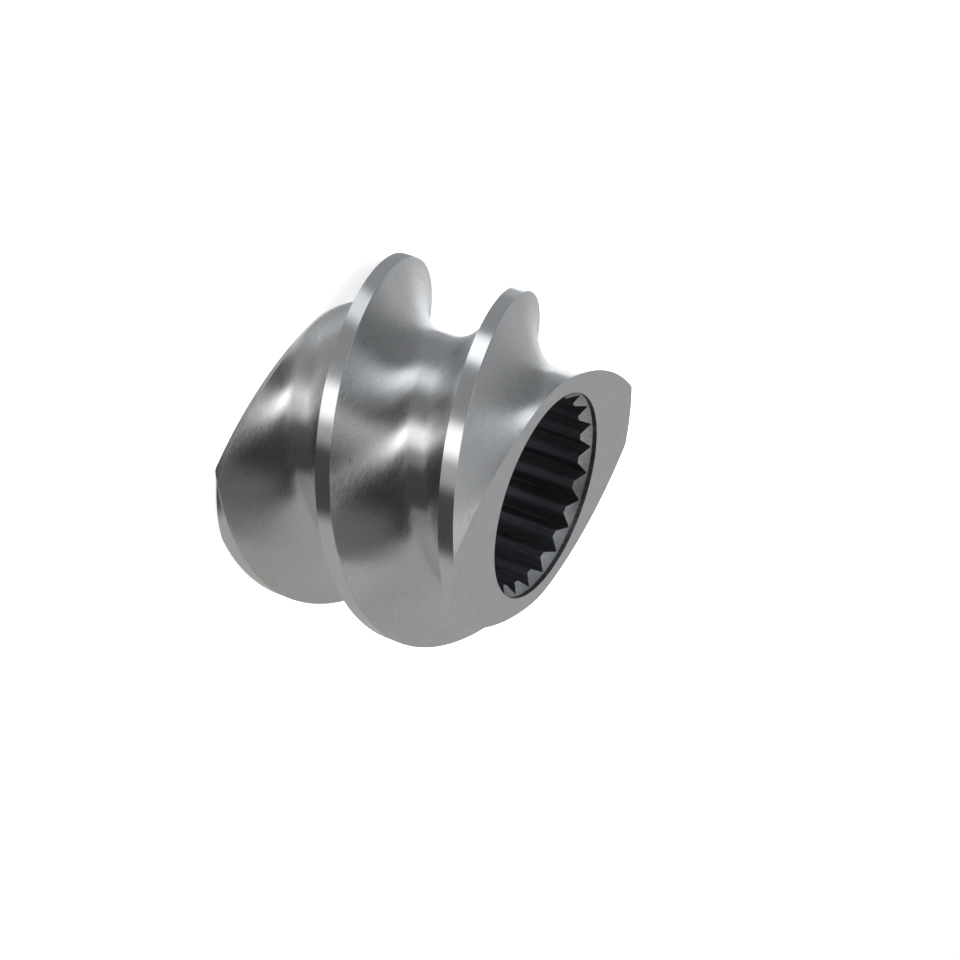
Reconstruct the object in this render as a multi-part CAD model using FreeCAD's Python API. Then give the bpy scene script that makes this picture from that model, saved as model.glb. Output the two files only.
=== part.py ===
import FreeCAD, Part
import math
import os

# Right-handed conveying screw element for the shafts of a twin-screw extruder.
#
# The element stands on its rear end. The shaft axis is +Z, the origin lies on that axis in
# the rear face, and the two crests of each end face lie on the X axis. Lengths are in
# millimetres and angles in degrees.

# Screw form
OUTER_DIAMETER = 62.4
ROOT_DIAMETER = 41.0
FLIGHT_COUNT = 2
PITCH = 44.0
ELEMENT_LENGTH = 44.0
ARCS_PER_FLANK = 4

# Splined bore, with straight-sided teeth
SPLINE_TEETH = 22
GROOVE_DIAMETER = 35.0
TOOTH_TIP_DIAMETER = 32.3
TOOTH_TIP_WIDTH = 1.2
GROOVE_BOTTOM_WIDTH = 0.2

# Recess at each end, in front of the chamfered tooth ends
RECESS_MARGIN = 0.2
RECESS_DEPTH = 0.8
CHAMFER_ANGLE = 45.0

# Cutting shapes run this far past the surfaces that they cut
CUT_OVERRUN = 2.0

FULL_TURN = 2.0 * math.pi
ORIGIN = FreeCAD.Vector(0.0, 0.0, 0.0)
AXIS = FreeCAD.Vector(0.0, 0.0, 1.0)


def polar(radius, angle, height=0.0):
    """Point at a radius and an angle (radians) about the shaft axis."""
    return FreeCAD.Vector(radius * math.cos(angle), radius * math.sin(angle), height)


def arc(start, middle, end):
    """Edge of the circle through three points, from start to end."""
    return Part.Arc(start, middle, end).toShape()


def flank_radius(angle):
    """Radius of the flank at an angle past the end of the root land.

    The crest of the neighbouring screw wipes the flank, so across the shaft the flank is an
    arc whose radius is the distance between the two shafts. Its centre lies on the far side
    of the axis, one crest radius out. It runs smoothly out of the root land.
    """
    crest_radius = OUTER_DIAMETER / 2.0
    shaft_distance = (OUTER_DIAMETER + ROOT_DIAMETER) / 2.0
    across = crest_radius * math.sin(angle)
    along = crest_radius * math.cos(angle)
    return math.sqrt(shaft_distance ** 2 - across ** 2) - along


def flank_angle(radius):
    """Angle past the end of the root land at which the flank reaches a radius."""
    crest_radius = OUTER_DIAMETER / 2.0
    shaft_distance = (OUTER_DIAMETER + ROOT_DIAMETER) / 2.0
    rest = shaft_distance ** 2 - crest_radius ** 2 - radius ** 2
    return math.acos(rest / (2.0 * crest_radius * radius))


def land_angle():
    """Angle that each root land spans, and each crest land too."""
    return FULL_TURN / FLIGHT_COUNT / 2.0 - flank_angle(OUTER_DIAMETER / 2.0)


def mouth_angle():
    """Angle past the root land at which the channel's cutting shape ends."""
    return flank_angle(OUTER_DIAMETER / 2.0 + CUT_OVERRUN)


def flank_height(angle):
    """Distance of a flank point along the shaft from the middle of its channel.

    Turning the screw by an angle is the same as moving it along the shaft by that share of
    the pitch, so an angle past the root land becomes a distance along the shaft.
    """
    return (land_angle() / 2.0 + angle) * PITCH / FULL_TURN


def flank_edges(side):
    """Axial section of the flank above (+1) or below (-1), as arcs from the root outwards."""
    step = mouth_angle() / ARCS_PER_FLANK

    def point(steps):
        return FreeCAD.Vector(flank_radius(steps * step), 0.0, side * flank_height(steps * step))

    return [arc(point(index), point(index + 0.5), point(index + 1)) for index in range(ARCS_PER_FLANK)]


def channel_section():
    """Closed axial section of a channel, in the XZ plane, with its middle on the X axis."""
    upper = flank_edges(1.0)
    lower = flank_edges(-1.0)
    root_land = Part.makeLine(lower[0].firstVertex().Point, upper[0].firstVertex().Point)
    mouth = Part.makeLine(upper[-1].lastVertex().Point, lower[-1].lastVertex().Point)
    return Part.Wire([root_land] + upper + [mouth] + lower[::-1])


def channel():
    """Cutting shape of one channel, which climbs on a helix past both end faces."""
    run_out = flank_height(mouth_angle())
    travel = ELEMENT_LENGTH + 2.0 * run_out
    shaft_line = Part.Wire(Part.makeLine(ORIGIN, AXIS * travel))
    crest_helix = Part.makeLongHelix(PITCH, travel, OUTER_DIAMETER / 2.0)
    sweep = Part.BRepOffsetAPI.MakePipeShell(shaft_line)
    sweep.setAuxiliarySpine(Part.Wire(crest_helix.Edges), False, 0)
    sweep.add(channel_section(), False, False)
    sweep.build()
    sweep.makeSolid()
    shape = sweep.shape()
    shape.translate(AXIS * -run_out)
    # The channel's middle meets the rear face halfway between two crests
    shape.rotate(ORIGIN, AXIS, 180.0 / FLIGHT_COUNT - 360.0 * run_out / PITCH)
    return shape


def flights():
    """Turned bar with the channels milled out of it, which leaves the flights standing."""
    body = Part.makeCylinder(OUTER_DIAMETER / 2.0, ELEMENT_LENGTH)
    # The bar's seam line is turned away from the crests of the end faces
    body.rotate(ORIGIN, AXIS, 90.0)
    cutters = []
    for flight in range(FLIGHT_COUNT):
        cutter = channel()
        cutter.rotate(ORIGIN, AXIS, 360.0 / FLIGHT_COUNT * flight)
        cutters.append(cutter)
    return body.cut(cutters)


def spline_outline(height):
    """Closed outline of the bore, with a groove behind each crest of the end faces."""
    groove_radius = GROOVE_DIAMETER / 2.0
    tip_radius = TOOTH_TIP_DIAMETER / 2.0
    tooth_step = FULL_TURN / SPLINE_TEETH
    half_groove = math.asin(GROOVE_BOTTOM_WIDTH / 2.0 / groove_radius)
    half_tip = math.asin(TOOTH_TIP_WIDTH / 2.0 / tip_radius)

    edges = []
    for tooth in range(SPLINE_TEETH):
        groove_middle = tooth * tooth_step
        tip_middle = groove_middle + tooth_step / 2.0
        groove_start = polar(groove_radius, groove_middle - half_groove, height)
        groove_end = polar(groove_radius, groove_middle + half_groove, height)
        tip_start = polar(tip_radius, tip_middle - half_tip, height)
        tip_end = polar(tip_radius, tip_middle + half_tip, height)
        next_groove = polar(groove_radius, groove_middle + tooth_step - half_groove, height)
        edges.append(arc(groove_start, polar(groove_radius, groove_middle, height), groove_end))
        edges.append(Part.makeLine(groove_end, tip_start))
        edges.append(arc(tip_start, polar(tip_radius, tip_middle, height), tip_end))
        edges.append(Part.makeLine(tip_end, next_groove))
    return Part.Wire(edges)


def splined_bore():
    """Cutting shape of the toothed bore, through both end faces."""
    face = Part.Face(spline_outline(-CUT_OVERRUN))
    return face.extrude(AXIS * (ELEMENT_LENGTH + 2.0 * CUT_OVERRUN))


def rear_recess():
    """Cutting shape of the rear recess: a shallow round pocket, then the tooth chamfer."""
    recess_radius = GROOVE_DIAMETER / 2.0 + RECESS_MARGIN
    cone_height = recess_radius / math.tan(math.radians(CHAMFER_ANGLE))
    pocket = Part.makeCylinder(
        recess_radius,
        RECESS_DEPTH + CUT_OVERRUN,
        polar(0.0, 0.0, -CUT_OVERRUN),
        AXIS,
    )
    chamfer = Part.makeCone(recess_radius, 0.0, cone_height, polar(0.0, 0.0, RECESS_DEPTH), AXIS)
    return pocket.fuse(chamfer)


def front_recess():
    """The rear recess, mirrored to the front face."""
    middle = polar(0.0, 0.0, ELEMENT_LENGTH / 2.0)
    return rear_recess().mirror(middle, AXIS)


def screw_element():
    """The whole element, machined from one bar."""
    return flights().cut([splined_bore(), rear_recess(), front_recess()])


os.makedirs("parts", exist_ok=True)
element = screw_element()
element.exportStep("parts/screw_element.step")
print("screw_element", element.ShapeType, "valid", element.isValid(), "volume", round(element.Volume, 1))
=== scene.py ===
import logging
import math
from collections.abc import Sequence
from dataclasses import dataclass, field
from enum import Enum, IntEnum

import bpy
import numpy as np
from mathutils import Euler, Matrix, Vector


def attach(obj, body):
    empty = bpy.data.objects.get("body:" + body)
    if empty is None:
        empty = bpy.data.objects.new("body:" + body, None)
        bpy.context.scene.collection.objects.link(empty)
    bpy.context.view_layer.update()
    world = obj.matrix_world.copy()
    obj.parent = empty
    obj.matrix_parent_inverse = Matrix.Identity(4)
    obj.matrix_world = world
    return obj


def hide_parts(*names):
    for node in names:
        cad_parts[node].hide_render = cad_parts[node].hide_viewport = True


# Right-handed conveying screw element, dressed as one closed skin of bare steel.
#
# Lengths are in metres, in the frame of the solid model: the shaft axis is +Z, and the
# origin lies in the rear face, on which the element stands. Angles are in radians in the
# element's form, and in degrees in the camera and the light tent.

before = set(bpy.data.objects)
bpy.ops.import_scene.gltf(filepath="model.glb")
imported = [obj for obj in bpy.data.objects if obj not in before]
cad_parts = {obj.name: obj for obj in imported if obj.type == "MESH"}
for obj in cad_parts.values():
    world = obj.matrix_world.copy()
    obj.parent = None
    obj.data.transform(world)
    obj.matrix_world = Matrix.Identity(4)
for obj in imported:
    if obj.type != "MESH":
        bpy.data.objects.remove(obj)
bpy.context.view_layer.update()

log = logging.getLogger("screw_element")

FULL_TURN = 2.0 * math.pi

# Share of the way from root to crest from which a strip of the flights is crest land
CREST_SHARE = 1.0 - 1e-9

# Range in which most values of a noise lie
NOISE_LOW = 0.3
NOISE_HIGH = 0.7

# Turn of the shader's reflections, which fans them out across the marks and not along them
QUARTER_TURN = 0.25


class Zone(IntEnum):
    """Surface zones of the element. The value is the zone's material slot."""

    CREST_LAND = 0
    CHANNEL = 1
    END_FACE = 2
    TOOTH_CHAMFER = 3
    BORE = 4


class Machining(IntEnum):
    """Ways of machining. The value is the place of its coordinates among the tool paths."""

    BRUSHED = 0
    TURNED = 1
    BROACHED = 2


MACHINING: dict[Zone, Machining] = {
    Zone.CREST_LAND: Machining.BRUSHED,
    Zone.CHANNEL: Machining.BRUSHED,
    Zone.END_FACE: Machining.TURNED,
    Zone.TOOTH_CHAMFER: Machining.TURNED,
    Zone.BORE: Machining.BROACHED,
}


@dataclass(frozen=True)
class ScrewForm:
    """Sizes of the element in metres, and the curves that follow from them."""

    crest_radius: float = 0.0312
    root_radius: float = 0.0205
    pitch: float = 0.044
    length: float = 0.044
    flights: int = 2
    groove_radius: float = 0.0175
    tip_radius: float = 0.01615
    tip_width: float = 0.0012
    groove_width: float = 0.0002
    teeth: int = 22
    recess_margin: float = 0.0002
    recess_depth: float = 0.0008
    edge_break: float = 0.00014

    @property
    def shaft_distance(self) -> float:
        """Distance between the shafts of two screws that wipe each other."""
        return self.crest_radius + self.root_radius

    @property
    def recess_radius(self) -> float:
        """Radius of the round recess in front of the tooth ends."""
        return self.groove_radius + self.recess_margin

    @property
    def flank_span(self) -> float:
        """Angle of a whole flank, from the root land to the crest."""
        return float(self.flank_angle(np.array(self.crest_radius)))

    @property
    def land_span(self) -> float:
        """Angle of a root land, and of a crest land."""
        return math.pi / self.flights - self.flank_span

    def flank_radius(self, angle: np.ndarray) -> np.ndarray:
        """Radius of the flank at angles past the end of the root land.

        The flank is an arc whose radius is the shaft distance, about a point one crest
        radius out on the far side of the axis: the root of (distance squared less the
        square of crest radius times sine), less crest radius times cosine.

        Args:
            angle: Angles past the root land, in radians.

        Returns:
            The radii in metres.
        """
        across = self.crest_radius * np.sin(angle)
        along = self.crest_radius * np.cos(angle)
        return np.sqrt(self.shaft_distance**2 - across**2) - along

    def flank_angle(self, radius: np.ndarray) -> np.ndarray:
        """Angle past the root land at which the flank reaches a radius.

        Args:
            radius: Radii in metres.

        Returns:
            The angles in radians, from the law of cosines on the same arc.
        """
        rest = self.shaft_distance**2 - self.crest_radius**2 - radius**2
        return np.arccos(rest / (2.0 * self.crest_radius * radius))


MIDDLE_HEIGHT = ScrewForm.length / 2.0


@dataclass(frozen=True)
class Ring:
    """One closed ring of points, as polar radii and angles in the order of the columns."""

    radius: np.ndarray
    angle: np.ndarray

    def points(self, height: np.ndarray | float, turn: np.ndarray | float = 0.0) -> np.ndarray:
        """Places the ring in space, once for each height and turn.

        A point's x and y are its radius times the cosine and the sine of its angle plus the
        turn, and its z is the height.

        Args:
            height: Heights above the rear face, which broadcast against the ring's points.
            turn: Angles by which the ring is turned about the axis, one for each height.

        Returns:
            The points, with x, y and z in the last dimension.
        """
        angle = self.angle + np.asarray(turn)
        x = self.radius * np.cos(angle)
        y = self.radius * np.sin(angle)
        return np.stack([x, y, np.broadcast_to(height, x.shape)], axis=-1)


@dataclass
class ScrewElement:
    """The turned, milled and broached element, as one closed skin.

    The skin is a single grid that closes on itself both ways. Its columns run up the
    flights on helices, in over the front face, down the bore and out over the rear face.
    """

    form: ScrewForm = field(default_factory=ScrewForm)
    crest_steps: int = 20
    break_steps: int = 2
    flank_steps: int = 66
    root_steps: int = 20
    climb_rows: int = 150
    face_rows: int = 7
    chamfer_rows: int = 3
    bore_rows: int = 10
    corner_angle: float = math.radians(12.0)
    brush_tilt: float = math.radians(-30.0)
    brush_rise: float = 0.7

    def outline(self) -> tuple[Ring, np.ndarray]:
        """Outline of the section, from the middle of the crest on the X axis.

        Each crest corner is broken: the crest land ends one edge break early, and the flank
        starts one edge break lower.

        Returns:
            The ring of section points, and the zone of the strip after each point.
        """
        form = self.form
        half_crest = form.land_span / 2.0 - form.edge_break / form.crest_radius
        low = float(form.flank_angle(np.array(form.crest_radius - form.edge_break)))
        break_angle = form.land_span / 2.0 + form.flank_span - low
        break_share = np.linspace(0.0, 1.0, self.break_steps + 1)[1:]
        crest = np.linspace(0.0, half_crest, self.crest_steps // 2 + 1)
        fall = half_crest + (break_angle - half_crest) * break_share
        flank = np.linspace(low, 0.0, self.flank_steps + 1)[1:]
        root = np.linspace(0.0, form.land_span / 2.0, self.root_steps // 2 + 1)[1:]
        root_start = form.land_span / 2.0 + form.flank_span
        angle = np.concatenate([crest, fall, root_start - flank, root_start + root])
        radius = np.concatenate([
            np.full(crest.size, form.crest_radius),
            form.crest_radius - form.edge_break * break_share,
            form.flank_radius(flank),
            np.full(root.size, form.root_radius),
        ])
        zone = np.where(np.arange(angle.size - 1) < crest.size - 1 + self.break_steps,
                        Zone.CREST_LAND, Zone.CHANNEL)
        period = FULL_TURN / form.flights
        back_angle = period - angle[::-1]
        half_turn = np.concatenate([angle, back_angle[1:-1]])
        half_radius = np.concatenate([radius, radius[::-1][1:-1]])
        half_zone = np.concatenate([zone, zone[::-1]])
        turns = np.arange(form.flights) * period
        ring = Ring(np.tile(half_radius, form.flights),
                    (half_turn[None, :] + turns[:, None]).ravel())
        return ring, np.tile(half_zone, form.flights)

    def spline(self, columns: int) -> Ring:
        """Outline of the toothed bore, from the middle of the groove on the X axis.

        Args:
            columns: Number of points, a multiple of the number of teeth.

        Returns:
            The ring of bore points: groove bottoms and tooth tips on their circles, with
            straight tooth sides between them.
        """
        form = self.form
        step = FULL_TURN / form.teeth
        half_groove = math.asin(form.groove_width / 2.0 / form.groove_radius)
        half_tip = math.asin(form.tip_width / 2.0 / form.tip_radius)
        # Two points of each tooth are the middles of its groove and its tip
        side_points = (columns // form.teeth - 2) // 2
        share = np.linspace(0.0, 1.0, side_points)[:, None]
        start = np.array([math.cos(half_groove), math.sin(half_groove)]) * form.groove_radius
        tip_angle = step / 2.0 - half_tip
        end = np.array([math.cos(tip_angle), math.sin(tip_angle)]) * form.tip_radius
        straight = start + (end - start) * share
        radius = np.concatenate([[form.groove_radius], np.hypot(*straight.T), [form.tip_radius]])
        angle = np.concatenate([[0.0], np.arctan2(straight[:, 1], straight[:, 0]), [step / 2.0]])
        tooth_angle = np.concatenate([angle, step - angle[::-1][1:-1]])
        tooth_radius = np.concatenate([radius, radius[::-1][1:-1]])
        turns = np.arange(form.teeth) * step
        return Ring(np.tile(tooth_radius, form.teeth),
                    (tooth_angle[None, :] + turns[:, None]).ravel())

    def grid(self) -> tuple[np.ndarray, np.ndarray]:
        """Points and zones of the whole skin.

        Rows climb the flights, where the section turns by a full turn in each pitch, then go
        straight from ring to ring: outline to recess circle, down the recess, down the
        chamfer cone to the tooth outline, down the bore, and back out at the rear.

        Returns:
            The points as rows by columns by three, and the zone of each cell.
        """
        form = self.form
        outline, column_zone = self.outline()
        columns = outline.angle.size
        spline = self.spline(columns)
        circle = Ring(np.full(columns, form.recess_radius), spline.angle)
        cone_drop = form.recess_depth + form.recess_radius - spline.radius

        heights = np.linspace(0.0, form.length, self.climb_rows + 1)[:, None]
        climb = outline.points(heights, FULL_TURN * heights / form.pitch)
        out_edge = outline.points(0.0)
        in_edge = circle.points(0.0)
        share = np.linspace(0.0, 1.0, self.face_rows + 1)[1:, None, None]
        rear_face = out_edge + (in_edge - out_edge) * share
        rear_recess = circle.points(form.recess_depth)[None]
        rear_teeth = spline.points(cone_drop)
        chamfer_share = np.linspace(0.0, 1.0, self.chamfer_rows + 1)[1:, None, None]
        rear_chamfer = rear_recess[0] + (rear_teeth - rear_recess[0]) * chamfer_share
        lift = np.array([0.0, 0.0, 1.0])
        mirror = np.array([1.0, 1.0, -1.0])
        rear = (rear_face, rear_recess, rear_chamfer)
        front = [part * mirror + lift * form.length for part in rear]
        front_teeth = front[2][-1]
        bore_share = np.linspace(0.0, 1.0, self.bore_rows + 1)[1:, None, None]
        bore = front_teeth + (rear_teeth - front_teeth) * bore_share
        outward = [rear_chamfer[:-1][::-1], rear_recess, rear_face[::-1]]
        points = np.concatenate([climb, *front, bore, *outward])

        rows = [
            np.broadcast_to(column_zone, (self.climb_rows, columns)),
            np.full((self.face_rows, columns), Zone.END_FACE),
            np.full((1 + self.chamfer_rows, columns), Zone.TOOTH_CHAMFER),
            np.full((self.bore_rows, columns), Zone.BORE),
            np.full((self.chamfer_rows + 1, columns), Zone.TOOTH_CHAMFER),
            np.full((self.face_rows, columns), Zone.END_FACE),
        ]
        return points, np.concatenate(rows)

    def mark_climb(self, radius: np.ndarray, angle: np.ndarray) -> np.ndarray:
        """Climb of the brush marks on the flights, from one column to the next.

        At the root and on the crest lands the marks run round the axis, laid onto the
        surface. On the flanks they tilt from that, because the brush followed the flank: by
        the brush tilt times the share of the way from root to crest, raised to the brush
        rise. A step along a mark is a share of the way round the section and a share of the
        way up the helix, and the climb is the second for each unit of the first.

        Args:
            radius: Radii of the closed section, in metres.
            angle: Angles of the closed section, in radians.

        Returns:
            The climb in metres, for each strip of the section.
        """
        form = self.form
        turn = FULL_TURN / form.pitch
        step = np.diff(angle)
        slope = np.diff(radius) / step
        middle = (radius[1:] + radius[:-1]) / 2.0
        # Parts of each vector: radial, round the axis, along the axis
        normal = np.stack([middle, -slope, middle * slope * turn], axis=-1)
        normal /= np.linalg.norm(normal, axis=-1, keepdims=True)
        around = np.array([0.0, 1.0, 0.0]) - normal[:, 1:2] * normal
        around /= np.linalg.norm(around, axis=-1, keepdims=True)
        across = np.cross(normal, around)
        share = (middle - form.root_radius) / (form.crest_radius - form.root_radius)
        flank = np.where(share < CREST_SHARE, np.clip(share, 0.0, 1.0), 0.0)
        tilt = self.brush_tilt * flank[:, None] ** self.brush_rise
        mark = np.cos(tilt) * around + np.sin(tilt) * across
        return mark[:, 2] / (mark[:, 1] / middle - turn * mark[:, 2]) * step

    def tool_paths(self, points: np.ndarray) -> np.ndarray:
        """Pattern coordinates in metres, u along the tool marks and v across them.

        On the flights, v is the height less the climb of the brush marks, so that it stays
        the same along a mark. The end faces were turned, so their marks are rings. The bore
        was broached straight down.

        Args:
            points: The grid of points.

        Returns:
            Coordinates as ways of machining by rows by columns by two, with one row and
            column more than the grid, to close it.
        """
        closed = np.concatenate([points, points[:, :1]], axis=1)
        closed = np.concatenate([closed, closed[:1]])
        radius = np.hypot(closed[..., 0], closed[..., 1])
        angle = np.unwrap(np.arctan2(closed[..., 1], closed[..., 0]), axis=1)
        height = closed[..., 2]
        # The bore's last row, counted back from the row that closes the grid
        bore_row = -(self.face_rows + self.chamfer_rows + 2)
        rings = closed[[0, bore_row]]
        widths = np.linalg.norm(np.diff(rings, axis=1), axis=-1)
        steps = (self.mark_climb(radius[0], angle[0]), *widths)
        lead, outer, inner = (np.concatenate([[0.0], np.cumsum(part)]) for part in steps)
        brushed = np.stack(np.broadcast_arrays(outer, height - lead), axis=-1)
        turned = np.stack([angle * self.form.root_radius, radius], axis=-1)
        broached = np.stack(np.broadcast_arrays(height, inner), axis=-1)
        return np.stack([brushed, turned, broached])

    def build(self) -> bpy.types.Object:
        """Makes the skin as one mesh, with its zones, sharp edges and pattern map.

        Returns:
            The mesh object, which stands for the element's solid.
        """
        points, zones = self.grid()
        rows, columns = zones.shape
        row, column = np.indices((rows, columns))
        next_row = (row + 1) % rows
        next_column = (column + 1) % columns
        corners = np.stack([
            row * columns + column,
            row * columns + next_column,
            next_row * columns + next_column,
            next_row * columns + column,
        ], axis=-1).reshape(-1, 4)

        mesh = bpy.data.meshes.new("screw_skin")
        mesh.from_pydata(points.reshape(-1, 3), [], corners)
        mesh.polygons.foreach_set("material_index", zones.ravel().astype(np.int32))
        self.map_pattern(mesh, points, zones)
        self.mark_edges(mesh)
        mesh.update()
        skin = bpy.data.objects.new("screw_skin", mesh)
        bpy.context.scene.collection.objects.link(skin)
        return skin

    def map_pattern(self, mesh: bpy.types.Mesh, points: np.ndarray, zones: np.ndarray) -> None:
        """Lays the pattern map on the skin, by the way that each zone was machined.

        Args:
            mesh: The mesh of the skin.
            points: The grid of points.
            zones: The zone of each cell.
        """
        paths = self.tool_paths(points)
        machining = np.array([MACHINING[zone] for zone in Zone])[zones]
        row, column = np.indices(zones.shape)
        offsets = ((0, 0), (0, 1), (1, 1), (1, 0))
        corners = [paths[machining, row + down, column + side] for down, side in offsets]
        layer = mesh.uv_layers.new(name="tool_path")
        layer.data.foreach_set("uv", np.stack(corners, axis=2).astype(np.float32).ravel())

    def mark_edges(self, mesh: bpy.types.Mesh) -> None:
        """Shades the skin smooth, and keeps each edge sharp where the real one has a corner.

        Args:
            mesh: The mesh of the skin.
        """
        mesh.polygons.foreach_set("use_smooth", np.ones(len(mesh.polygons), dtype=bool))
        mesh.update()
        mesh.set_sharp_from_angle(angle=self.corner_angle)


@dataclass(frozen=True)
class MetalFinish:
    """One machined finish of the bare steel.

    Tool marks run along u of the pattern map. They vary the tint, the roughness and a fine
    bump, by a noise that is drawn out along them. Lengths are in metres. Tints and spreads
    are shares, the gain is that of each finer layer of the marks, and the pit floor is the
    share of a pit's radius that is flat.
    """

    name: str
    tint: tuple[float, float, float]
    roughness: float
    roughness_spread: float
    anisotropy: float
    mark_length: float
    mark_width: float
    mark_depth: float
    tint_spread: float
    mark_detail: float = 3.0
    mark_gain: float = 0.62
    cloud_size: float = 0.009
    cloud_share: float = 0.3
    cloud_detail: float = 2.0
    pit_spacing: float = 0.0
    pit_radius: float = 0.00013
    pit_floor: float = 0.4
    pit_depth: float = 0.00003
    pit_tint: float = 0.55
    # Painted shade: the tint falls from one at the unshaded radius to the shade's tint at the shade
    # radius
    unshaded_radius: float = 0.0
    shade_radius: float = 0.0
    shade_tint: float = 1.0

    def build(self) -> bpy.types.Material:
        """Makes the material.

        Returns:
            A material of one metal shader with its noises on the map and the object.
        """
        material = bpy.data.materials.new(self.name)
        material.use_nodes = True
        nodes = material.node_tree.nodes
        nodes.clear()
        output = nodes.new("ShaderNodeOutputMaterial")
        metal = nodes.new("ShaderNodeBsdfPrincipled")
        metal.inputs["Metallic"].default_value = 1.0
        metal.inputs["Anisotropic"].default_value = self.anisotropy
        metal.inputs["Anisotropic Rotation"].default_value = QUARTER_TURN
        links = material.node_tree.links
        links.new(metal.outputs["BSDF"], output.inputs["Surface"])
        marks = self.marks(material)
        clouds = self.clouds(material)
        shades = [
            self.spread(material, marks, 1.0, self.tint_spread),
            self.spread(material, clouds, 1.0, self.tint_spread),
        ]
        pits = self.pits(material) if self.pit_spacing > 0.0 else None
        if pits:
            shades.append(self.ramp(material, pits, self.pit_tint, 1.0))
        # Painted shade, darker further from the axis
        if self.shade_radius > 0.0:
            shades.append(self.painted_shade(material))
        self.tint_metal(material, metal, shades)
        self.roughen(material, metal, marks, clouds)
        self.engrave(material, metal, marks, pits)
        if self.anisotropy > 0.0:
            along = nodes.new("ShaderNodeTangent")
            along.direction_type = "UV_MAP"
            along.uv_map = "tool_path"
            links.new(along.outputs["Tangent"], metal.inputs["Tangent"])
        return material

    def marks(self, material: bpy.types.Material) -> bpy.types.NodeSocket:
        """Noise of the tool marks: long along u, narrow along v.

        Args:
            material: The material that it is made in.

        Returns:
            The noise value, about one half on average.
        """
        nodes, links = material.node_tree.nodes, material.node_tree.links
        path = nodes.new("ShaderNodeUVMap")
        path.uv_map = "tool_path"
        stretch = nodes.new("ShaderNodeMapping")
        scale = (1.0 / self.mark_length, 1.0 / self.mark_width, 1.0)
        stretch.inputs["Scale"].default_value = scale
        noise = nodes.new("ShaderNodeTexNoise")
        noise.noise_dimensions = "2D"
        noise.inputs["Scale"].default_value = 1.0
        noise.inputs["Detail"].default_value = self.mark_detail
        noise.inputs["Roughness"].default_value = self.mark_gain
        links.new(path.outputs["UV"], stretch.inputs["Vector"])
        links.new(stretch.outputs["Vector"], noise.inputs["Vector"])
        return noise.outputs["Fac"]

    def clouds(self, material: bpy.types.Material) -> bpy.types.NodeSocket:
        """Broad soft noise over the object, for uneven polish.

        Args:
            material: The material that it is made in.

        Returns:
            The noise value, about one half on average.
        """
        nodes, links = material.node_tree.nodes, material.node_tree.links
        place = nodes.new("ShaderNodeTexCoord")
        noise = nodes.new("ShaderNodeTexNoise")
        noise.inputs["Scale"].default_value = 1.0 / self.cloud_size
        noise.inputs["Detail"].default_value = self.cloud_detail
        links.new(place.outputs["Object"], noise.inputs["Vector"])
        return noise.outputs["Fac"]

    @staticmethod
    def ramp(
        material: bpy.types.Material,
        value: bpy.types.NodeSocket,
        low: float,
        high: float,
        start: float = 0.0,
        end: float = 1.0,
    ) -> bpy.types.NodeSocket:
        """Maps a value from one range to another, without going past its ends.

        Args:
            material: The material that the node is made in.
            value: The value.
            low: Result at the start of the range.
            high: Result at its end.
            start: Start of the range of the value.
            end: End of that range.

        Returns:
            The mapped value.
        """
        node = material.node_tree.nodes.new("ShaderNodeMapRange")
        node.inputs["From Min"].default_value = start
        node.inputs["From Max"].default_value = end
        node.inputs["To Min"].default_value = low
        node.inputs["To Max"].default_value = high
        material.node_tree.links.new(value, node.inputs["Value"])
        return node.outputs["Result"]

    @classmethod
    def spread(
        cls,
        material: bpy.types.Material,
        noise: bpy.types.NodeSocket,
        middle: float,
        half_range: float,
    ) -> bpy.types.NodeSocket:
        """Maps the range in which most of a noise lies to a range about a middle.

        Args:
            material: The material that the node is made in.
            noise: The noise value.
            middle: Result for the middle of the noise.
            half_range: How far the result goes either way.

        Returns:
            The mapped value.
        """
        low, high = middle - half_range, middle + half_range
        return cls.ramp(material, noise, low, high, NOISE_LOW, NOISE_HIGH)

    def pits(self, material: bpy.types.Material) -> bpy.types.NodeSocket:
        """Scattered small pits on the pattern map, one in each cell of a random pattern.

        Args:
            material: The material that they are made in.

        Returns:
            Nought at the bottom of a pit, and one outside it.
        """
        nodes, links = material.node_tree.nodes, material.node_tree.links
        path = nodes.new("ShaderNodeUVMap")
        path.uv_map = "tool_path"
        cells = nodes.new("ShaderNodeTexVoronoi")
        cells.voronoi_dimensions = "2D"
        cells.inputs["Scale"].default_value = 1.0 / self.pit_spacing
        links.new(path.outputs["UV"], cells.inputs["Vector"])
        rim = self.pit_radius / self.pit_spacing
        return self.ramp(material, cells.outputs["Distance"], 0.0, 1.0, self.pit_floor * rim, rim)

    def painted_shade(self, material: bpy.types.Material) -> bpy.types.NodeSocket:
        """Painted shade that darkens the surface by its distance from the shaft axis: towards the
        recess wall on the tooth chamfer, and into the grooves of the bore.

        Args:
            material: The material that it is made in.

        Returns:
            One at the unshaded radius, falling evenly to the shade's tint at the shade radius.
        """
        nodes, links = material.node_tree.nodes, material.node_tree.links
        place = nodes.new("ShaderNodeTexCoord")
        flat = nodes.new("ShaderNodeVectorMath")
        flat.operation = "MULTIPLY"
        flat.inputs[1].default_value = (1.0, 1.0, 0.0)
        distance = nodes.new("ShaderNodeVectorMath")
        distance.operation = "LENGTH"
        links.new(place.outputs["Object"], flat.inputs[0])
        links.new(flat.outputs["Vector"], distance.inputs[0])
        return self.ramp(material, distance.outputs["Value"], 1.0, self.shade_tint,
                         self.unshaded_radius, self.shade_radius)

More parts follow.
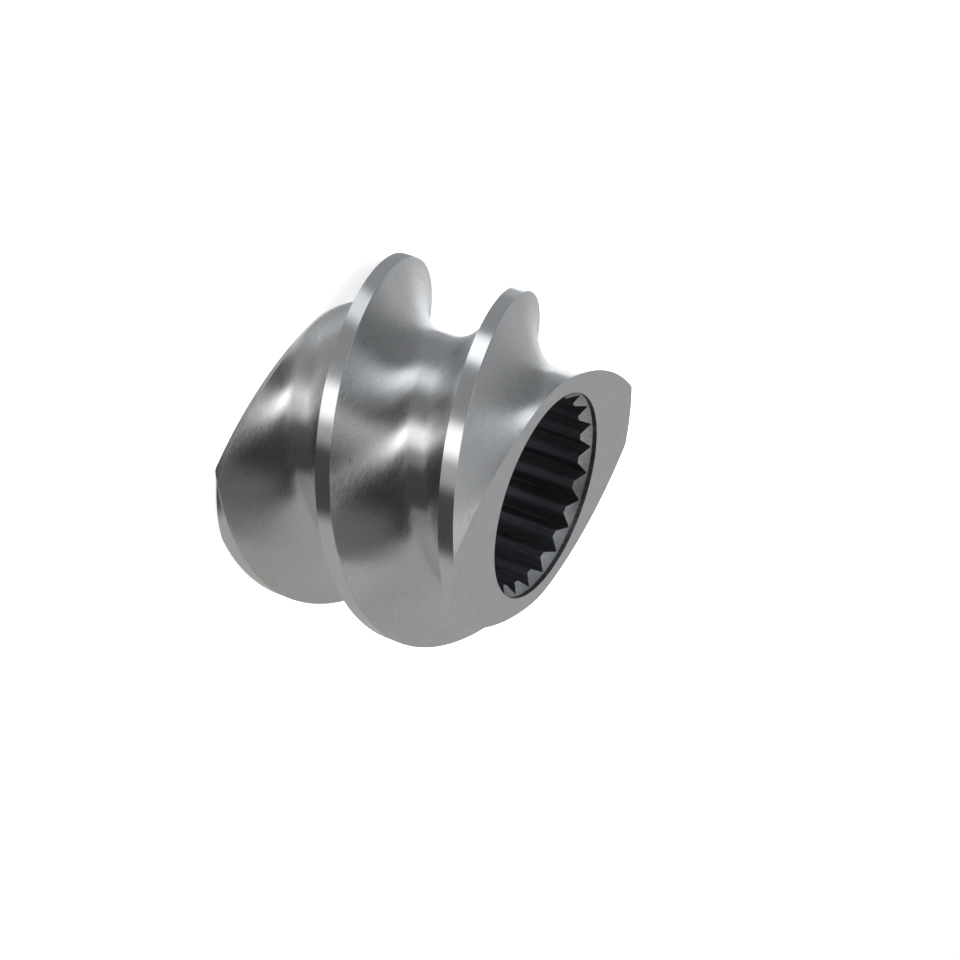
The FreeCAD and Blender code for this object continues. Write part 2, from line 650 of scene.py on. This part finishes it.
    def tint_metal(
        self,
        material: bpy.types.Material,
        metal: bpy.types.Node,
        shades: Sequence[bpy.types.NodeSocket],
    ) -> None:
        """Lightens and darkens the steel's tint by the product of several shades.

        Args:
            material: The material that the nodes are made in.
            metal: The metal shader.
            shades: Values about one, each from its own pattern.
        """
        nodes, links = material.node_tree.nodes, material.node_tree.links
        product = shades[0]
        for shade in shades[1:]:
            both = nodes.new("ShaderNodeMath")
            both.operation = "MULTIPLY"
            links.new(product, both.inputs[0])
            links.new(shade, both.inputs[1])
            product = both.outputs["Value"]
        tint = nodes.new("ShaderNodeVectorMath")
        tint.operation = "SCALE"
        tint.inputs[0].default_value = self.tint
        links.new(product, tint.inputs["Scale"])
        links.new(tint.outputs["Vector"], metal.inputs["Base Color"])

    def roughen(
        self,
        material: bpy.types.Material,
        metal: bpy.types.Node,
        marks: bpy.types.NodeSocket,
        clouds: bpy.types.NodeSocket,
    ) -> None:
        """Varies the roughness by the marks and the clouds together.

        Args:
            material: The material that the nodes are made in.
            metal: The metal shader.
            marks: Noise of the tool marks.
            clouds: Broad noise.
        """
        nodes, links = material.node_tree.nodes, material.node_tree.links
        total = nodes.new("ShaderNodeMath")
        total.operation = "ADD"
        by_marks = self.spread(material, marks, self.roughness, self.roughness_spread)
        by_clouds = self.spread(material, clouds, 0.0, self.roughness_spread * self.cloud_share)
        links.new(by_marks, total.inputs[0])
        links.new(by_clouds, total.inputs[1])
        links.new(total.outputs["Value"], metal.inputs["Roughness"])

    def engrave(
        self,
        material: bpy.types.Material,
        metal: bpy.types.Node,
        marks: bpy.types.NodeSocket,
        pits: bpy.types.NodeSocket | None,
    ) -> None:
        """Cuts the tool marks, and any pits, into the surface as a bump.

        Args:
            material: The material that the nodes are made in.
            metal: The metal shader.
            marks: Noise of the tool marks.
            pits: Height of the pits, if the finish has them.
        """
        nodes, links = material.node_tree.nodes, material.node_tree.links
        bump = nodes.new("ShaderNodeBump")
        bump.inputs["Distance"].default_value = self.mark_depth
        links.new(marks, bump.inputs["Height"])
        if pits:
            holes = nodes.new("ShaderNodeBump")
            holes.inputs["Distance"].default_value = self.pit_depth
            links.new(pits, holes.inputs["Height"])
            links.new(bump.outputs["Normal"], holes.inputs["Normal"])
            bump = holes
        links.new(bump.outputs["Normal"], metal.inputs["Normal"])


STEEL = (0.576, 0.58, 0.583)

FINISHES: dict[Zone, MetalFinish] = {
    Zone.CREST_LAND: MetalFinish(
        name="ground_crest_land", tint=(0.614, 0.62, 0.625), roughness=0.17, roughness_spread=0.02,
        anisotropy=0.4, mark_length=0.012, mark_width=0.00025, mark_depth=0.0000012,
        tint_spread=0.03,
    ),
    Zone.CHANNEL: MetalFinish(
        name="brushed_channel", tint=STEEL, roughness=0.30, roughness_spread=0.045,
        anisotropy=0.95, mark_length=0.002, mark_width=0.00013, mark_depth=0.000005,
        tint_spread=0.06, pit_spacing=0.007, pit_radius=0.00011,
    ),
    Zone.END_FACE: MetalFinish(
        name="faced_end", tint=(0.568, 0.575, 0.584), roughness=0.38, roughness_spread=0.03,
        anisotropy=0.0, mark_length=0.0006, mark_width=0.0003, mark_depth=0.000001,
        tint_spread=0.035, cloud_size=0.0015, pit_spacing=0.0034,
    ),
    Zone.TOOTH_CHAMFER: MetalFinish(
        name="turned_tooth_chamfer", tint=(0.49, 0.50, 0.515), roughness=0.36,
        roughness_spread=0.04, anisotropy=0.0, mark_length=0.0008, mark_width=0.0002,
        mark_depth=0.000002, tint_spread=0.12, cloud_size=0.0009, pit_spacing=0.0022,
        # Painted shade, darker towards the recess wall
        unshaded_radius=0.0162, shade_radius=0.0177, shade_tint=0.70,
    ),
    Zone.BORE: MetalFinish(
        name="broached_bore", tint=(0.40, 0.415, 0.44), roughness=0.36, roughness_spread=0.05,
        anisotropy=0.5, mark_length=0.015, mark_width=0.0003, mark_depth=0.000002,
        # Painted shade, darker into the tooth grooves, so that the tooth tips stand out lighter
        tint_spread=0.10, unshaded_radius=0.01618, shade_radius=0.0166, shade_tint=0.6,
    ),
}


@dataclass(frozen=True)
class Viewpoint:
    """The camera: what it looks at, and from which side.

    The azimuth and the elevation lead from the point that it looks at to the camera. The
    roll turns the camera about its line of sight, which lays the standing element over in
    the picture, as the photographed one lies. Lens and sensor are in millimetres.
    """

    aim: tuple[float, float, float] = (0.0021, -0.00304, 0.03017)
    distance: float = 0.28743
    azimuth: float = 143.24
    elevation: float = 23.21
    roll: float = 109.43
    lens: float = 63.897
    sensor: float = 36.0
    nearest: float = 0.01
    farthest: float = 50.0

    def build(self) -> bpy.types.Object:
        """Makes the camera and gives it to the scene.

        Returns:
            The camera object.
        """
        data = bpy.data.cameras.new("photo_view")
        data.lens = self.lens
        data.sensor_width = self.sensor
        data.sensor_fit = "HORIZONTAL"
        data.clip_start = self.nearest
        data.clip_end = self.farthest
        camera = bpy.data.objects.new("photo_view", data)
        tilt = math.radians(90.0 - self.elevation)
        turn = Euler((tilt, 0.0, math.radians(90.0 + self.azimuth))).to_matrix().to_4x4()
        roll = Matrix.Rotation(math.radians(self.roll), 4, "Z")
        step_back = Matrix.Translation((0.0, 0.0, self.distance))
        camera.matrix_world = Matrix.Translation(self.aim) @ turn @ roll @ step_back
        bpy.context.scene.collection.objects.link(camera)
        bpy.context.scene.camera = camera
        return camera


def seen_directly(tree: bpy.types.NodeTree) -> bpy.types.NodeSocket:
    """Tells the rays that look at a surface from those that only light the scene.

    Args:
        tree: The node tree of the floor or the sky.

    Returns:
        One for camera, glossy and transmission rays, and nought for all others.
    """
    path = tree.nodes.new("ShaderNodeLightPath")
    seen = path.outputs["Is Camera Ray"]
    for kind in ("Is Glossy Ray", "Is Transmission Ray"):
        either = tree.nodes.new("ShaderNodeMath")
        either.operation = "MAXIMUM"
        tree.links.new(seen, either.inputs[0])
        tree.links.new(path.outputs[kind], either.inputs[1])
        seen = either.outputs["Value"]
    return seen


@dataclass(frozen=True)
class Floor:
    """Plain white floor that keeps the element's shadow."""

    half_size: float = 8.0
    drop: float = 0.00005
    whiteness: float = 0.86
    glow: float = 0.62

    def build(self) -> bpy.types.Object:
        """Makes the floor just under the rear face.

        Returns:
            The floor object.
        """
        sides = ((-1, -1), (1, -1), (1, 1), (-1, 1))
        corners = [(x * self.half_size, y * self.half_size, -self.drop) for x, y in sides]
        mesh = bpy.data.meshes.new("floor")
        mesh.from_pydata(corners, [], [(0, 1, 2, 3)])
        mesh.materials.append(self.paint())
        floor = bpy.data.objects.new("floor", mesh)
        bpy.context.scene.collection.objects.link(floor)
        return floor

    def paint(self) -> bpy.types.Material:
        """Makes the white paint: matt, with a glow for the eye and for reflections.

        Returns:
            The floor's material.
        """
        material = bpy.data.materials.new("white_floor")
        material.use_nodes = True
        nodes, links = material.node_tree.nodes, material.node_tree.links
        nodes.clear()
        output = nodes.new("ShaderNodeOutputMaterial")
        matt = nodes.new("ShaderNodeBsdfDiffuse")
        matt.inputs["Color"].default_value = (self.whiteness, self.whiteness, self.whiteness, 1.0)
        glow = nodes.new("ShaderNodeEmission")
        strength = nodes.new("ShaderNodeMath")
        strength.operation = "MULTIPLY"
        strength.inputs[1].default_value = self.glow
        links.new(seen_directly(material.node_tree), strength.inputs[0])
        links.new(strength.outputs["Value"], glow.inputs["Strength"])
        both = nodes.new("ShaderNodeAddShader")
        links.new(matt.outputs["BSDF"], both.inputs[0])
        links.new(glow.outputs["Emission"], both.inputs[1])
        links.new(both.outputs["Shader"], output.inputs["Surface"])
        return material


@dataclass(frozen=True)
class TentPanel:
    """Panel of the light tent: a brighter or darker patch of the cloth, with soft edges.

    Its place is a direction from the middle of the element, in degrees. The radiance is
    what the steel sees there. A panel that leans moves round by its lean for each degree
    of elevation.
    """

    name: str
    azimuth: float
    half_width: float
    low: float
    high: float
    radiance: float
    lean: float = 0.0
    soft_edge: float = 6.0

    def share(self, azimuth: np.ndarray, elevation: np.ndarray) -> np.ndarray:
        """Share of the cloth that the panel covers in each direction.

        Args:
            azimuth: Azimuths in degrees.
            elevation: Elevations in degrees.

        Returns:
            One inside the panel and nought outside it, with a straight fade, as wide as
            the soft edge, about each edge.
        """
        middle = self.azimuth + self.lean * elevation
        off = np.abs((azimuth - middle + 180.0) % 360.0 - 180.0)
        insides = (self.half_width - off, elevation - self.low, self.high - elevation)
        return math.prod(np.clip(inside / self.soft_edge + 0.5, 0.0, 1.0) for inside in insides)


# The order matters: each panel hangs in front of the ones before it
PANELS: tuple[TentPanel, ...] = (
    TentPanel("dark_side", azimuth=170, half_width=36, low=-5, high=90, radiance=0.05),
    TentPanel("dark_floor", azimuth=176, half_width=17, low=-38, high=-5, radiance=0.08, lean=0.25),
    TentPanel("dim_floor", azimuth=76, half_width=46, low=-40, high=-5, radiance=0.36),
    TentPanel("dark_gap", azimuth=106, half_width=15, low=-8, high=90, radiance=0.1, lean=-0.3),
    TentPanel("dim_corner", azimuth=35, half_width=28, low=-5, high=45, radiance=0.25),
    TentPanel("key_strip", azimuth=130, half_width=8, low=-35, high=68, radiance=1.75, lean=-0.3),
    TentPanel("key_core", azimuth=126, half_width=5, low=-3, high=22, radiance=3.6),
    TentPanel("side_window", azimuth=75, half_width=9, low=-17, high=40, radiance=1.7, lean=-0.5),
    TentPanel("side_floor", azimuth=90, half_width=8, low=-40, high=-17, radiance=1.1),
    TentPanel("far_window", azimuth=352, half_width=20, low=-34, high=-4, radiance=1.6),
    TentPanel("top_light", azimuth=315, half_width=50, low=60, high=96, radiance=0.95),
)


class ClothShape(Enum):
    """Shapes that a cloth of the light tent can have."""

    FLOOR_DISK = "floor disk"
    DOME = "dome"


@dataclass(frozen=True)
class LightCloth:
    """One cloth of the light tent: a flat disk on the floor, or a dome over the element.

    The disk runs between two radii in metres, and the dome between two elevations in
    degrees.
    """

    name: str
    shape: ClothShape
    near: float
    far: float
    panels: tuple[TentPanel, ...] = PANELS
    radiance: float = 0.5
    radius: float = 0.35
    middle: float = MIDDLE_HEIGHT
    lift: float = 0.0004
    columns: int = 180
    rows: int = 60
    cool_azimuth: float = 50.0
    cool_share: float = 0.035

    def surface(self, azimuth: np.ndarray, reach: np.ndarray) -> tuple[np.ndarray, np.ndarray]:
        """Points of the cloth, and the elevation at which the element's middle sees them.

        The disk lies level, just above the floor, and each of its rings has its radius. The
        dome is a sphere about the element's middle, and each of its rings has its elevation.

        Args:
            azimuth: Azimuths in degrees, as a column.
            reach: Radii in metres or elevations in degrees, as a row.

        Returns:
            The points, azimuths by reaches by three, and the elevations in degrees.
        """
        if self.shape is ClothShape.FLOOR_DISK:
            flat, height = reach, self.lift
            elevation = -np.degrees(np.arctan2(self.middle, reach))
        else:
            flat = self.radius * np.cos(np.radians(reach))
            height = self.middle + self.radius * np.sin(np.radians(reach))
            elevation = reach
        around = np.radians(azimuth)
        parts = flat * np.cos(around), flat * np.sin(around), height
        return np.stack(np.broadcast_arrays(*parts), axis=-1), elevation

    def light(self, azimuth: np.ndarray, elevation: np.ndarray) -> np.ndarray:
        """Light of the cloth: its own radiance, with the panels in front of it.

        The tent is a little cool on one side and a little warm on the other, by the cosine
        of the azimuth from its cool side.

        Args:
            azimuth: Azimuths in degrees, as a column.
            elevation: Elevations in degrees, as a row.

        Returns:
            Red, green, blue and one, azimuths by elevations by four.
        """
        radiance = np.full(np.broadcast(azimuth, elevation).shape, self.radiance)
        for panel in self.panels:
            radiance += (panel.radiance - radiance) * panel.share(azimuth, elevation)
        cool = np.cos(np.radians(azimuth - self.cool_azimuth)) * self.cool_share
        tints = (1.0 - cool, np.ones_like(cool), 1.0 + cool)
        return np.stack([*(radiance * tint for tint in tints), np.ones_like(radiance)], axis=-1)

    def build(self) -> bpy.types.Object:
        """Makes the cloth.

        Returns:
            Its object. It is seen in the steel only.
        """
        azimuth = np.arange(self.columns)[:, None] * (360.0 / self.columns)
        reach = np.linspace(self.near, self.far, self.rows)[None, :]
        points, elevation = self.surface(azimuth, reach)
        row, column = np.indices((self.columns, self.rows - 1))
        first = row * self.rows + column
        second = (row + 1) % self.columns * self.rows + column
        faces = np.stack([first, second, second + 1, first + 1], axis=-1).reshape(-1, 4)
        mesh = bpy.data.meshes.new(self.name)
        mesh.from_pydata(points.reshape(-1, 3), [], faces)
        glow = mesh.color_attributes.new("glow", "FLOAT_COLOR", "POINT")
        light = self.light(azimuth, elevation)
        glow.data.foreach_set("color", light.astype(np.float32).ravel())
        mesh.materials.append(self.weave())
        item = bpy.data.objects.new(self.name, mesh)
        bpy.context.scene.collection.objects.link(item)
        item.visible_camera = False
        item.visible_shadow = False
        item.visible_diffuse = False
        return item

    def weave(self) -> bpy.types.Material:
        """Makes the cloth's material, which glows as its colours say.

        Returns:
            The material.
        """
        material = bpy.data.materials.new(self.name)
        material.use_nodes = True
        nodes, links = material.node_tree.nodes, material.node_tree.links
        nodes.clear()
        colour = nodes.new("ShaderNodeAttribute")
        colour.attribute_name = "glow"
        glow = nodes.new("ShaderNodeEmission")
        output = nodes.new("ShaderNodeOutputMaterial")
        links.new(colour.outputs["Color"], glow.inputs["Color"])
        links.new(glow.outputs["Emission"], output.inputs["Surface"])
        return material


@dataclass(frozen=True)
class Lamp:
    """One soft area lamp that points at the middle of the element."""

    name: str
    place: tuple[float, float, float]
    size: float
    watts: float
    aim: tuple[float, float, float] = (0.0, 0.0, MIDDLE_HEIGHT)

    def build(self) -> bpy.types.Object:
        """Makes the lamp.

        Returns:
            The lamp object.
        """
        data = bpy.data.lights.new(self.name, "AREA")
        data.shape = "DISK"
        data.size = self.size
        data.energy = self.watts
        lamp = bpy.data.objects.new(self.name, data)
        back = Vector(self.place) - Vector(self.aim)
        turn = back.to_track_quat("Z", "Y").to_matrix().to_4x4()
        lamp.matrix_world = Matrix.Translation(self.place) @ turn
        bpy.context.scene.collection.objects.link(lamp)
        lamp.visible_camera = False
        lamp.visible_glossy = False
        return lamp


@dataclass
class Studio:
    """Everything round the element: floor, lamps, light tent and even sky.

    The tent shows only in the steel, and the lamps are there for the floor.
    """

    floor: Floor = field(default_factory=Floor)
    lamps: tuple[Lamp, ...] = (
        Lamp("soft_key", (-0.5, 0.45, 0.8), 0.6, 9.0),
        Lamp("soft_fill", (0.6, -0.3, 0.9), 0.8, 7.0),
    )
    cloths: tuple[LightCloth, ...] = (
        LightCloth("tent_floor", ClothShape.FLOOR_DISK, near=0.0195, far=0.35),
        LightCloth("tent_dome", ClothShape.DOME, near=-3.5, far=90.0),
    )
    sky: float = 0.45

    def build(self) -> None:
        """Makes the whole studio and sets the plain view transform."""
        self.floor.build()
        for lamp in self.lamps:
            lamp.build()
        for cloth in self.cloths:
            cloth.build()
        bpy.context.scene.world = self.build_sky()
        bpy.context.scene.view_settings.view_transform = "Standard"

    def build_sky(self) -> bpy.types.World:
        """Makes the even sky, which looks white and gives only a share of that light.

        Returns:
            The world.
        """
        world = bpy.data.worlds.new("studio_sky")
        world.use_nodes = True
        nodes, links = world.node_tree.nodes, world.node_tree.links
        strength = nodes.new("ShaderNodeMapRange")
        strength.inputs["To Min"].default_value = self.sky
        strength.inputs["To Max"].default_value = 1.0
        links.new(seen_directly(world.node_tree), strength.inputs["Value"])
        sky = nodes["Background"]
        sky.inputs["Color"].default_value = (1.0, 1.0, 1.0, 1.0)
        links.new(strength.outputs["Result"], sky.inputs["Strength"])
        return world


def dress(skin: bpy.types.Object) -> None:
    """Gives the skin a finish for each zone.

    Args:
        skin: The mesh object of the element.
    """
    for zone in Zone:
        skin.data.materials.append(FINISHES[zone].build())


def main() -> None:
    """Builds the camera, the element and the studio, and reports each piece."""
    logging.basicConfig(level=logging.INFO, format="%(name)s: %(message)s")
    Viewpoint().build()
    skin = ScrewElement().build()
    dress(skin)
    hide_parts("screw_element")
    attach(skin, "root")
    log.info("%s has %d faces", skin.name, len(skin.data.polygons))
    Studio().build()


if __name__ == "__main__":
    main()
